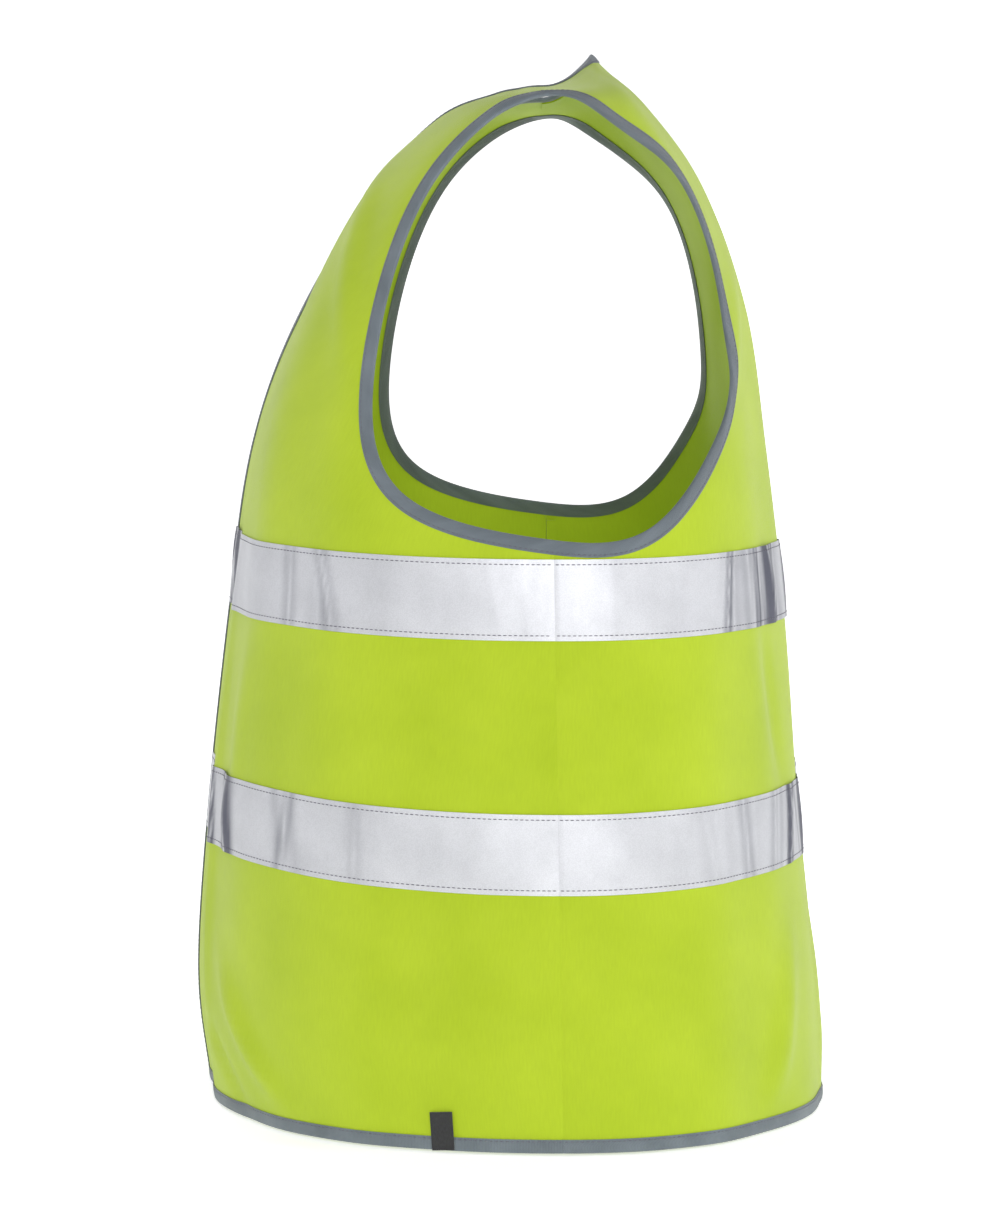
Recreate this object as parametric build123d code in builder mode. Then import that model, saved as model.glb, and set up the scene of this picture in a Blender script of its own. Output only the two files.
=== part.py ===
"""High visibility vest, built as the garment is sewn: cloth panels, folded edge bindings, reflective
bands, seams, labels and a hook-and-loop front whose two flaps swing open.

Millimetres. +Z is up, the wearer faces -Y and the wearer's left is +X.
The origin is the centre of the footprint, on the plane that the hem stands on.
"""

from build123d import *
import math
import os

import numpy as np

# ---- cloth, tapes and the gaps between sewn layers ----
CLOTH = 1.0  # panel thickness
SEW_GAP = 0.2  # between two layers that are sewn together
BINDING = 0.7  # thickness of one leg of the folded edge binding
BINDING_WIDTH = 9.0  # from the bound edge to the binding's stitched edge
BAND = 0.5  # thickness of the reflective band
BAND_WIDTH = 50.0
HOOK = 1.2  # thickness of the hook tape
LOOP = 1.2  # thickness of the loop tape
MATE_GAP = 0.5  # between the closed hook and loop faces
CLOSURE_GAP = 1.5  # between the closure tapes and the edge bindings beside them
CLOSURE_TOP_GAP = 15.0  # from the top of the closure tapes to the corner of the front edge
LABEL = 0.5  # thickness of a label

# ---- front opening and neck ----
OVERLAP = 40.0  # the left front laps over the right front by this much
NECK_HALF = 86.0  # half width of the neck opening, at the shoulder seams
NECK_DEPTH = 31.5  # from the shoulder seams to the middle of the back neck
V_BOTTOM = 432.0  # height at which the two neck edges cross
V_TOP = 650.0  # height at which the V meets the upright sides of the neck
V_CORNER = 45.0  # rounding where the neck edge turns into the front edge

# ---- seams ----
SEAM_AT_HEM = 31.0  # y of the side seams at the hem
SEAM_AT_SHOULDER = 20.0  # y of the shoulder seams
SHOULDER_HEIGHT = 655.0
UNDERARM = 366.0  # top of the side seam allowance, below the armhole binding
ARMHOLE_MIDDLE = 520.0
ALLOWANCE = 1.6  # thickness of the two cloth edges that are overlocked together
ALLOWANCE_WIDTH = 10.0

# ---- reflective bands: height of the lower edge at the side seam, and its rise BAND_ARC in front ----
LOWER_BAND, LOWER_BAND_RISE = 160.0, 9.0
UPPER_BAND, UPPER_BAND_RISE = 317.0, 6.0
BAND_ARC = 200.0

# ---- armhole, as seen from the side: (y, z) of the cloth's bound edge ----
ARMHOLE = [
    (17, 652), (-51, 597), (-86.5, 480), (-66, 405), (17, 380),
    (85, 386), (126, 440), (133, 495), (113, 585), (60, 637),
]

# ---- fold line on which the left flap swings, and the cut between flap and shell ----
FOLD_FOOT = (130.0, -202.0, 0.0)
FOLD_TOP = (30.0, -177.5, 480.0)
FOLD_INWARD = (-0.15, 0.99, 0.0)  # from the fold line into the vest, along the cut
FOLD_GAP = 0.6

# ---- labels ----
FLAG_Y, FLAG_WIDTH, FLAG_HEIGHT, FLAG_TILT = -44.0, 14.0, 24.0, 4.0
CARE_Y, CARE_WIDTH, CARE_BOTTOM, CARE_HEIGHT = 70.0, 34.0, 60.0, 60.0
SIZE_WIDTH, SIZE_TOP, SIZE_DROP = 26.0, 676.0, 32.0

# ---- rings of the outer surface, hem to neck ----
# side height, front height, back height, half width, front y, back y, squareness (2 is an ellipse)
RINGS = np.array([
    (0, 0, 0, 236, -201, 208, 2.2),
    (75, 75, 75, 234, -208.5, 203, 2.2),
    (190, 190, 190, 231, -201, 191, 2.3),
    (320, 320, 320, 226, -187, 180, 2.4),
    (430, 430, 430, 219, -172, 166, 2.6),
    (520, 515, 520, 211, -142, 152, 2.8),
    (600, 592, 600, 203, -98, 123, 3.0),
    (647, 638, 652, 188, -52, 87, 2.8),
    (658, 655, 675, 142, -18, 62, 2.4),
    (662, 662, 687, NECK_HALF, 2, SEAM_AT_SHOULDER + NECK_DEPTH, 2.0),
])

LEG = SEW_GAP + BINDING  # a binding's leg stands this far out from the cloth
LINING = CLOTH + SEW_GAP  # depth below the outer surface of a layer sewn inside
TUCK = LINING + HOOK + MATE_GAP + LOOP + SEW_GAP  # how far the right front lies under the left
TUCK_FROM, TUCK_TO = 80.0, 25.0  # half widths between which the right front eases under
REACH = 400.0  # longer than the vest is wide or deep
CEILING = 720.0  # above the vest

LEFT, RIGHT = 1, -1
SIDES = {"left": LEFT, "right": RIGHT}

# spans in degrees round the body, from the left side seam towards the back
BACK = (-3, 183)
FIXED_FRONT = {LEFT: (-86, 3), RIGHT: (177, 266)}
WHOLE_FRONT = {LEFT: (-100, 3), RIGHT: (177, 280)}

# spans in levels, from 0 at the hem to 1 at the neck
HEM_TO_NECK = (-0.01, 1.02)
HEM_TO_FOLD = (-0.01, 0.62)
COLUMNS, LEVELS = 40, 22  # points that a layer is drawn through, round the body and up

os.makedirs("parts", exist_ok=True)


# ---------------------------------------------------------------- the outer surface


def ring_at(level):
    """Row of ring values at a level, by a Catmull-Rom curve through RINGS."""
    step = level * (len(RINGS) - 1)
    i = min(max(int(step), 0), len(RINGS) - 2)
    t = step - i
    a, b = RINGS[i], RINGS[i + 1]
    before = RINGS[i - 1] if i else 2 * a - b
    after = RINGS[i + 2] if i + 2 < len(RINGS) else 2 * b - a
    return 0.5 * (
        2 * a
        + (b - before) * t
        + (2 * before - 5 * a + 4 * b - after) * t**2
        + (3 * a - before - 3 * b + after) * t**3
    )


def seam_y(height):
    """y of the plane that holds the side seams and the shoulder seams."""
    return SEAM_AT_HEM + (SEAM_AT_SHOULDER - SEAM_AT_HEM) * height / SHOULDER_HEIGHT


def on_surface(angle, level):
    """Point of the outer surface: a superellipse ring whose height eases from side to front or back.

    The right front, beyond 180 degrees, is eased under the left one.
    """
    side_z, front_z, back_z, half_width, front, back, square = ring_at(level)
    c, s = math.cos(math.radians(angle)), math.sin(math.radians(angle))
    size = (abs(c) ** square + abs(s) ** square) ** (-1 / square)
    x, share = half_width * c * size, s * size
    middle = seam_y(side_z)
    y = middle + (back - middle if s > 0 else middle - front) * share
    z = side_z + ((back_z if s > 0 else front_z) - side_z) * share**2
    if angle > 180:
        t = min(max((TUCK_FROM + x) / (TUCK_FROM - TUCK_TO), 0.0), 1.0)
        y += TUCK * t * t * (3 - 2 * t)
    return np.array([x, y, z])


def surface_normal(angle, level):
    """Unit normal of the outer surface, pointing out of the vest."""
    round_body = on_surface(angle + 0.5, level) - on_surface(angle - 0.5, level)
    upwards = on_surface(angle, level + 0.004) - on_surface(angle, level - 0.004)
    normal = np.cross(round_body, upwards)
    return normal / np.linalg.norm(normal)


def beside_surface(angle, level, outwards):
    """The surface point moved out along the surface's normal."""
    return Vector(*(on_surface(angle, level) + outwards * surface_normal(angle, level)))


def layer(angles, levels, top, thickness):
    """Layer of cloth or tape whose outer face stands top above the outer surface."""
    points = [
        [beside_surface(angle, level, top) for level in np.linspace(*levels, LEVELS)]
        for angle in np.linspace(*angles, COLUMNS)
    ]
    face = Face.make_surface_from_array_of_points(points, tol=0.05, min_deg=3, max_deg=3)
    thicken(face, amount=-thickness)


# ---------------------------------------------------------------- outlines that trim a layer


def through(sketch_plane):
    """The like plane behind the vest, from which a prism of 2 * REACH goes right through it."""
    return sketch_plane.offset(-REACH)


def beyond(plane, mode=Mode.INTERSECT):
    """Everything on the side of a plane that its normal points to."""
    with BuildSketch(plane) as outline:
        Rectangle(4 * REACH, 4 * REACH)
    extrude(outline.sketch, amount=2 * REACH, mode=mode)


def above(height, mode=Mode.INTERSECT):
    """Everything above a level plane."""
    beyond(Plane.XY.offset(height), mode)


def front_edge(side, inset=0.0, mode=Mode.INTERSECT):
    """Prism over what one front covers below the neck, up to inset from its V and its front edge."""
    lap = -side * OVERLAP / 2
    corner = V_BOTTOM - (V_TOP - V_BOTTOM) * OVERLAP / 2 / NECK_HALF
    neck = side * NECK_HALF
    with BuildSketch(through(Plane.XZ)) as outline:
        with BuildLine():
            edge = FilletPolyline((lap, -REACH), (lap, corner), (neck, V_TOP), radius=V_CORNER)
            Polyline(edge @ 1, (side * REACH, V_TOP), (side * REACH, -REACH), edge @ 0)
        make_face()
        if inset:
            offset(amount=-inset, kind=Kind.INTERSECTION)
    extrude(outline.sketch, amount=2 * REACH, mode=mode)


def band(height, rise):
    """Prism along X between two like arcs that rise from the side seam to front and back."""
    reach = 1.3 * BAND_ARC
    front, back = SEAM_AT_HEM - reach, SEAM_AT_HEM + reach
    low, low_end = height, height + rise * (reach / BAND_ARC) ** 2
    high, high_end = low + BAND_WIDTH, low_end + BAND_WIDTH
    with BuildSketch(through(Plane.YZ)) as outline:
        with BuildLine():
            bottom = ThreePointArc((front, low_end), (SEAM_AT_HEM, low), (back, low_end))
            top = ThreePointArc((front, high_end), (SEAM_AT_HEM, high), (back, high_end))
            Line(bottom @ 0, top @ 0)
            Line(bottom @ 1, top @ 1)
        make_face()
    extrude(outline.sketch, amount=2 * REACH, mode=Mode.INTERSECT)


def window(plane, centre, width, height, tilt=0.0):
    """Prism through the whole vest over a rectangle on an upright plane."""
    with BuildSketch(through(plane)) as outline:
        with Locations(centre):
            Rectangle(width, height, rotation=tilt)
    extrude(outline.sketch, amount=2 * REACH, mode=Mode.INTERSECT)


def side_normal(y, z):
    """Normal of the outer surface where a line along X through (y, z) meets the left side."""
    nearest = min(SIDE_GRID, key=lambda place: math.hypot(place[0][1] - y, place[0][2] - z))
    return surface_normal(*nearest[1])


def armhole_space(side, grow):
    """Solid of one armhole, grown by a distance that is measured along the surface."""
    points = np.array(ARMHOLE)
    along = np.roll(points, -1, axis=0) - np.roll(points, 1, axis=0)
    outwards = np.column_stack((along[:, 1], -along[:, 0])) / np.linalg.norm(along, axis=1)[:, None]
    normals = np.array([side_normal(y, z) for y, z in ARMHOLE])
    lean = (normals[:, 1:] * outwards).sum(axis=1) / normals[:, 0]
    steps = grow / np.sqrt(1 + lean**2)
    with BuildPart() as space:
        with BuildSketch(Plane.YZ):
            with BuildLine():
                Spline(*map(tuple, points + steps[:, None] * outwards), periodic=True)
            make_face()
        extrude(amount=side * REACH)
    return space.part


def neck_space(grow):
    """Solid inside the neck edge, grown: round behind the shoulder seams, V-shaped before them."""
    with BuildPart() as space:
        with BuildSketch(Plane.XY.offset(V_BOTTOM)):
            with Locations((0, SEAM_AT_SHOULDER)):
                Ellipse(NECK_HALF + grow, NECK_DEPTH + grow)
        extrude(amount=CEILING - V_BOTTOM)
        with BuildSketch(Plane.XZ.offset(-SEAM_AT_SHOULDER)):
            with BuildLine():
                Polyline(
                    (0, V_BOTTOM),
                    (NECK_HALF, V_TOP),
                    (NECK_HALF, CEILING),
                    (-NECK_HALF, CEILING),
                    (-NECK_HALF, V_TOP),
                    close=True,
                )
            make_face()
            if grow:
                offset(amount=grow, kind=Kind.INTERSECTION)
        extrude(amount=REACH)
    return space.part


def fold_plane(side):
    """Cut between a flap and the shell. It holds the fold line, and its normal points to the flap."""
    foot, top, inward = (np.array(p) * (side, 1, 1) for p in (FOLD_FOOT, FOLD_TOP, FOLD_INWARD))
    normal = side * np.cross(top - foot, inward)
    return Plane(origin=tuple(foot), x_dir=tuple(inward), z_dir=tuple(normal))


def flap_space(grow):
    """Solid of the space between the two cuts in front of the body, each moved out by grow."""
    with BuildPart() as space:
        with BuildSketch(Plane.XY.offset(-CEILING)):
            with Locations((0, -REACH / 2)):
                Rectangle(2 * REACH, REACH)
        extrude(amount=3 * CEILING)
        split(bisect_by=fold_plane(LEFT).offset(-grow), keep=Keep.TOP)
        split(bisect_by=fold_plane(RIGHT).offset(-grow), keep=Keep.TOP)
    return space.part


def seam_plane():
    """Plane through the side seams and the shoulder seams. Its normal points to the front."""
    foot, top = np.array((0, seam_y(0), 0)), np.array((0, seam_y(SHOULDER_HEIGHT), SHOULDER_HEIGHT))
    return Plane(origin=tuple(foot), x_dir=(1, 0, 0), z_dir=tuple(np.cross((1, 0, 0), top - foot)))


def save(piece, name):
    """Labels a finished piece and writes its STEP file."""
    piece.part.label = name
    export_step(piece.part, f"parts/{name}.step")


SIDE_GRID = [
    (on_surface(angle, level), (angle, level))
    for angle in np.linspace(-75, 88, 80)
    for level in np.linspace(0.34, 0.96, 80)
]
BINDING_DEPTH = CLOTH + 2 * LEG  # outer leg, cloth edge and inner leg
PANEL_EDGE = BINDING_WIDTH + SEW_GAP  # the panels begin this far from the bound edges

NECK = neck_space(0)
NECK_STRIP = neck_space(BINDING_WIDTH)
NECK_AND_BINDING = neck_space(PANEL_EDGE)
ARM = {side: armhole_space(side, 0) for side in SIDES.values()}
ARM_STRIP = {side: armhole_space(side, BINDING_WIDTH) for side in SIDES.values()}
ARM_AND_BINDING = {side: armhole_space(side, PANEL_EDGE) for side in SIDES.values()}
FLAPS = flap_space(-FOLD_GAP / 2)
ALL_BUT_SHELL = flap_space(FOLD_GAP / 2)
BANDS = {"upper": (UPPER_BAND, UPPER_BAND_RISE), "lower": (LOWER_BAND, LOWER_BAND_RISE)}


# ---------------------------------------------------------------- back

with BuildPart() as back_panel:
    layer(BACK, HEM_TO_NECK, 0, CLOTH)
    beyond(seam_plane(), Mode.SUBTRACT)
    add(ARM_AND_BINDING[LEFT], mode=Mode.SUBTRACT)
    add(ARM_AND_BINDING[RIGHT], mode=Mode.SUBTRACT)
    add(NECK_AND_BINDING, mode=Mode.SUBTRACT)
    above(PANEL_EDGE)
save(back_panel, "back_panel")

with BuildPart() as back_hem_binding:
    layer(BACK, HEM_TO_NECK, LEG, BINDING_DEPTH)
    beyond(seam_plane(), Mode.SUBTRACT)
    above(0)
    above(BINDING_WIDTH, mode=Mode.SUBTRACT)
save(back_hem_binding, "back_hem_binding")

with BuildPart() as back_neck_binding:
    layer(BACK, HEM_TO_NECK, LEG, BINDING_DEPTH)
    beyond(seam_plane(), Mode.SUBTRACT)
    add(NECK, mode=Mode.SUBTRACT)
    add(NECK_STRIP, mode=Mode.INTERSECT)
save(back_neck_binding, "back_neck_binding")

for row, (height, rise) in BANDS.items():
    with BuildPart() as back_band:
        layer(BACK, HEM_TO_NECK, SEW_GAP + BAND, BAND)
        beyond(seam_plane(), Mode.SUBTRACT)
        band(height, rise)
    save(back_band, f"back_{row}_band")

for hand, side in SIDES.items():
    with BuildPart() as back_arm_binding:
        layer(BACK, HEM_TO_NECK, LEG, BINDING_DEPTH)
        beyond(seam_plane(), Mode.SUBTRACT)
        add(ARM[side], mode=Mode.SUBTRACT)
        add(ARM_STRIP[side], mode=Mode.INTERSECT)
    save(back_arm_binding, f"{hand}_back_armhole_binding")


# ---------------------------------------------------------------- fronts, from the side seam to the fold

for hand, side in SIDES.items():
    with BuildPart() as front_side:
        layer(FIXED_FRONT[side], HEM_TO_NECK, 0, CLOTH)
        beyond(seam_plane())
        add(ARM_AND_BINDING[side], mode=Mode.SUBTRACT)
        add(NECK_AND_BINDING, mode=Mode.SUBTRACT)
        above(PANEL_EDGE)
        add(ALL_BUT_SHELL, mode=Mode.SUBTRACT)
    save(front_side, f"{hand}_front_side")

    with BuildPart() as front_arm_binding:
        layer(FIXED_FRONT[side], HEM_TO_NECK, LEG, BINDING_DEPTH)
        beyond(seam_plane())
        add(ARM[side], mode=Mode.SUBTRACT)
        add(ARM_STRIP[side], mode=Mode.INTERSECT)
    save(front_arm_binding, f"{hand}_front_armhole_binding")

    with BuildPart() as neck_binding:
        layer(FIXED_FRONT[side], HEM_TO_NECK, LEG, BINDING_DEPTH)
        beyond(seam_plane())
        add(NECK, mode=Mode.SUBTRACT)
        add(NECK_STRIP, mode=Mode.INTERSECT)
        add(ALL_BUT_SHELL, mode=Mode.SUBTRACT)
    save(neck_binding, f"{hand}_neck_binding")

    with BuildPart() as side_hem_binding:
        layer(FIXED_FRONT[side], HEM_TO_NECK, LEG, BINDING_DEPTH)
        beyond(seam_plane())
        above(0)
        above(BINDING_WIDTH, mode=Mode.SUBTRACT)
        add(ALL_BUT_SHELL, mode=Mode.SUBTRACT)
    save(side_hem_binding, f"{hand}_side_hem_binding")

    for row, (height, rise) in BANDS.items():
        with BuildPart() as side_band:
            layer(FIXED_FRONT[side], HEM_TO_NECK, SEW_GAP + BAND, BAND)
            beyond(seam_plane())
            band(height, rise)
            add(ALL_BUT_SHELL, mode=Mode.SUBTRACT)
        save(side_band, f"{hand}_side_{row}_band")


# ---------------------------------------------------------------- front flaps, from the fold to the edge

CLOSURE_WIDTH = OVERLAP - 2 * BINDING_WIDTH - 2 * CLOSURE_GAP
# the left bands end at the edge binding, the right ones short of the loop tape
BAND_END = {LEFT: PANEL_EDGE, RIGHT: OVERLAP / 2 + CLOSURE_WIDTH / 2 + SEW_GAP}

for hand, side in SIDES.items():
    with BuildPart() as front_flap:
        layer(WHOLE_FRONT[side], HEM_TO_FOLD, 0, CLOTH)
        front_edge(side, PANEL_EDGE)
        above(PANEL_EDGE)
        add(FLAPS, mode=Mode.INTERSECT)
    save(front_flap, f"{hand}_front_flap")

    with BuildPart() as flap_hem_binding:
        layer(WHOLE_FRONT[side], HEM_TO_FOLD, LEG, BINDING_DEPTH)
        front_edge(side)
        above(0)
        above(BINDING_WIDTH, mode=Mode.SUBTRACT)
        add(FLAPS, mode=Mode.INTERSECT)
    save(flap_hem_binding, f"{hand}_flap_hem_binding")

    with BuildPart() as edge_binding:
        layer(WHOLE_FRONT[side], HEM_TO_FOLD, LEG, BINDING_DEPTH)
        front_edge(side)
        front_edge(side, BINDING_WIDTH, mode=Mode.SUBTRACT)
        above(PANEL_EDGE)
        add(FLAPS, mode=Mode.INTERSECT)
    save(edge_binding, f"{hand}_front_edge_binding")

    for row, (height, rise) in BANDS.items():
        with BuildPart() as flap_band:
            layer(WHOLE_FRONT[side], HEM_TO_FOLD, SEW_GAP + BAND, BAND)
            band(height, rise)
            front_edge(side, BAND_END[side])
            add(FLAPS, mode=Mode.INTERSECT)
        save(flap_band, f"{hand}_flap_{row}_band")


# ---------------------------------------------------------------- hook-and-loop closure

CLOSURE_BOTTOM = BINDING_WIDTH + CLOSURE_GAP
CLOSURE_TOP = V_BOTTOM - (V_TOP - V_BOTTOM) * OVERLAP / 2 / NECK_HALF - CLOSURE_TOP_GAP
CLOSURE_MIDDLE = (0, (CLOSURE_BOTTOM + CLOSURE_TOP) / 2)

with BuildPart() as hook_tape:
    layer(WHOLE_FRONT[LEFT], HEM_TO_FOLD, -LINING, HOOK)
    window(Plane.XZ, CLOSURE_MIDDLE, CLOSURE_WIDTH, CLOSURE_TOP - CLOSURE_BOTTOM)
save(hook_tape, "hook_tape")

with BuildPart() as loop_tape:
    layer(WHOLE_FRONT[RIGHT], HEM_TO_FOLD, SEW_GAP + LOOP, LOOP)
    window(Plane.XZ, CLOSURE_MIDDLE, CLOSURE_WIDTH, CLOSURE_TOP - CLOSURE_BOTTOM)
save(loop_tape, "loop_tape")


# ---------------------------------------------------------------- seams, turned to the back inside

for hand, side in SIDES.items():
    with BuildPart() as side_seam:
        layer(BACK, HEM_TO_NECK, -LINING, ALLOWANCE)
        beyond(seam_plane(), Mode.SUBTRACT)
        beyond(seam_plane().offset(-ALLOWANCE_WIDTH))
        beyond(Plane.YZ if side == LEFT else -Plane.YZ)
        above(PANEL_EDGE)
        above(UNDERARM, Mode.SUBTRACT)
    save(side_seam, f"{hand}_side_seam")

    with BuildPart() as shoulder_seam:
        layer(BACK, HEM_TO_NECK, -LINING, ALLOWANCE)
        beyond(seam_plane(), Mode.SUBTRACT)
        beyond(seam_plane().offset(-ALLOWANCE_WIDTH))
        beyond(Plane.YZ if side == LEFT else -Plane.YZ)
        add(NECK_AND_BINDING, mode=Mode.SUBTRACT)
        add(ARM_AND_BINDING[side], mode=Mode.SUBTRACT)
        above(ARMHOLE_MIDDLE)
    save(shoulder_seam, f"{hand}_shoulder_seam")


# ---------------------------------------------------------------- labels

with BuildPart() as flag_label:
    layer(FIXED_FRONT[LEFT], HEM_TO_NECK, LEG + SEW_GAP + LABEL, LABEL)
    window(Plane.YZ, (FLAG_Y, FLAG_HEIGHT / 2 + SEW_GAP), FLAG_WIDTH, FLAG_HEIGHT, FLAG_TILT)
    beyond(Plane.YZ)
    above(SEW_GAP)
save(flag_label, "flag_label")

with BuildPart() as size_label:
    layer(BACK, HEM_TO_NECK, -CLOTH - LEG - SEW_GAP, LABEL)
    window(Plane.XZ, (0, SIZE_TOP - SIZE_DROP / 2), SIZE_WIDTH, SIZE_DROP)
    beyond(seam_plane(), Mode.SUBTRACT)
save(size_label, "size_label")

with BuildPart() as care_label:
    layer(BACK, HEM_TO_NECK, -LINING, LABEL)
    window(Plane.YZ, (CARE_Y, CARE_BOTTOM + CARE_HEIGHT / 2), CARE_WIDTH, CARE_HEIGHT)
    beyond(Plane.YZ)
save(care_label, "care_label")
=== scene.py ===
"""High visibility vest for rendering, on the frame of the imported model.

Metres. +Z is up, the wearer faces -Y and the wearer's left is +X. Every piece of cloth, tape and
binding is laid on one outer surface, described by rings round the body, with its folds added.
"""

import math

import bpy
import numpy as np
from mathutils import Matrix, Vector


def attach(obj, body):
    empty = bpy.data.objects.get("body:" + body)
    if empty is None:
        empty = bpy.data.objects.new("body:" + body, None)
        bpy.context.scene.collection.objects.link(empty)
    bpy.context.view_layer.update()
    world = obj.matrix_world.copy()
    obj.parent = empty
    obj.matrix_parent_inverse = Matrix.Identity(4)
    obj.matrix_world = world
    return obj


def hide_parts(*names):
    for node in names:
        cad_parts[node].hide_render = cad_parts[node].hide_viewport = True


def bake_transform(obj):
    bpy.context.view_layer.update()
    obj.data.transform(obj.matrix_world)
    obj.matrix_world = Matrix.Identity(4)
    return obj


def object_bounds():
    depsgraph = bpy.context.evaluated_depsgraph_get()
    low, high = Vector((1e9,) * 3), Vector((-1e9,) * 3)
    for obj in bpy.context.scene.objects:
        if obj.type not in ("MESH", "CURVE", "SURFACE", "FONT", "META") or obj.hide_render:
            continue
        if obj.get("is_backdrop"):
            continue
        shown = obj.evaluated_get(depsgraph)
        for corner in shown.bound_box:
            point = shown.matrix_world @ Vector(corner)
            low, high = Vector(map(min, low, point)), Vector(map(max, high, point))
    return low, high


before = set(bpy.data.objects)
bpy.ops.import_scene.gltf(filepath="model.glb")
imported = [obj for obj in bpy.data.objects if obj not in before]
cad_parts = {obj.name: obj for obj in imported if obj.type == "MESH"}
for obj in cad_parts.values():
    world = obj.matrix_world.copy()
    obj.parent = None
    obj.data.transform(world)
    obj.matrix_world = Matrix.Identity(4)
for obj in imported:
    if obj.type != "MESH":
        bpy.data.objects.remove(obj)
LOW, HIGH = (np.array(corner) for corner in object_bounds())
MM = (HIGH - LOW)[2] / 686.8  # one millimetre of the rings below, in metres of the frame

# ---- cloth, tapes and the gaps between sewn layers, in millimetres ----
CLOTH, SEW_GAP, BINDING, BAND, LABEL = 1.0, 0.2, 0.6, 0.4, 0.35
HOOK, LOOP, ALLOWANCE = 1.1, 1.1, 1.5
BINDING_WIDTH, BAND_WIDTH, ALLOWANCE_WIDTH = 9.0, 50.0, 10.0
LEG = SEW_GAP + 0.7  # how far a binding stands out from the cloth
TUCK = 4.3  # how far the right front lies under the left
TUCK_FROM, TUCK_TO = 80.0, 25.0
OVERLAP, NECK_HALF, V_BOTTOM, V_TOP, V_CORNER = 40.0, 86.0, 432.0, 650.0, 4.0
CLOSURE_HALF, CLOSURE_BOTTOM, CLOSURE_TOP = 9.5, 10.5, 366.0
SEAM_AT_HEM, SEAM_SLOPE = 31.0, -11.0 / 655.0
BANDS = {"lower": (160.0, 9.0), "upper": (317.0, 6.0)}  # height at the side seam, rise at BAND_ARC
BAND_ARC = 200.0

# ---- rings of the outer surface, hem to neck, in millimetres ----
# side height, front height, back height, half width, front y, back y, squareness (2 is an ellipse)
RINGS = np.array([
    (0, 0, 0, 236, -201, 208, 2.2),
    (75, 75, 75, 234, -208.5, 203, 2.2),
    (190, 190, 190, 231, -201, 191, 2.3),
    (320, 320, 320, 226, -187, 180, 2.4),
    (430, 430, 430, 219, -172, 166, 2.6),
    (520, 515, 520, 211, -142, 152, 2.8),
    (600, 592, 600, 203, -98, 123, 3.0),
    (647, 638, 652, 188, -52, 87, 2.8),
    (658, 655, 675, 142, -18, 62, 2.4),
    (662, 662, 687, NECK_HALF, 2, 51.5, 2.0),
])
RING_STEPS = np.array([0, 75, 191, 322, 434, 526, 612, 672, 722, 780])  # longest way between rings

# armhole's bound edge as seen from the side: (y, z)
ARMHOLE = np.array([
    (17, 652), (-51, 597), (-86.5, 480), (-66, 405), (17, 380),
    (85, 386), (126, 440), (133, 495), (113, 585), (60, 637),
])

# ---- soft folds that run round the whole vest: waves round the body, depth, start, lean ----
WAVES = [(7, 1.6, 0.4, 2.2), (11, 1.5, 2.1, -3.1), (17, 0.9, 4.0, 4.4), (23, 0.4, 1.2, -6.0)]
# ---- single folds: angle and level at the lower end, at the upper end, half width in degrees, depth ----
FOLDS = [
    (-47, 0.02, -66, 0.15, 3.2, 2.6), (-57, 0.0, -74, 0.10, 2.4, -1.6), (-63, 0.2, -60, 0.33, 3.0, 1.4),
    (-72, 0.05, -74, 0.40, 2.2, 1.8), (-40, 0.50, -60, 0.72, 3.5, 1.8), (48, 0.02, 58, 0.17, 3.4, 2.0),
    (60, 0.24, 54, 0.34, 2.6, -1.6), (42, 0.45, 66, 0.62, 4.0, 1.6), (75, 0.0, 80, 0.20, 3.5, 1.6),
    (110, 0.03, 104, 0.20, 4.0, 1.8), (135, 0.22, 128, 0.36, 3.2, -1.5), (122, 0.5, 100, 0.7, 4.5, 1.6),
    (222, 0.02, 243, 0.18, 3.4, 2.2), (240, 0.2, 236, 0.35, 3.0, -1.4), (225, 0.5, 244, 0.7, 3.6, 1.8),
]

# ---- fold lines of the two front flaps, on the left side: foot, top, and the way into the vest ----
FOLD_FOOT = np.array((130.0, -202.0, 0.0))
FOLD_TOP = np.array((30.0, -177.5, 480.0))
FOLD_INWARD = np.array((-0.15, 0.99, 0.0))
BEND_HALF = 45.0  # distance on each side of the fold line, in millimetres

LEFT, RIGHT = 1, -1
SIDES = {"left": LEFT, "right": RIGHT}


# ---------------------------------------------------------------- the outer surface


def rings_at(level):
    """Ring values at levels 0 (hem) to 1 (neck), by a Catmull-Rom curve through RINGS."""
    last = len(RINGS) - 1
    step = np.asarray(level, float) * last
    i = np.clip(step.astype(int), 0, last - 1)
    t = (step - i)[..., None]
    a, b = RINGS[i], RINGS[i + 1]
    before = np.where((i > 0)[..., None], RINGS[np.maximum(i - 1, 0)], 2 * a - b)
    after = np.where((i < last - 1)[..., None], RINGS[np.minimum(i + 2, last)], 2 * b - a)
    rings = 0.5 * (
        2 * a
        + (b - before) * t
        + (2 * before - 5 * a + 4 * b - after) * t**2
        + (3 * a - before - 3 * b + after) * t**3
    )
    return np.moveaxis(rings, -1, 0)


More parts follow.
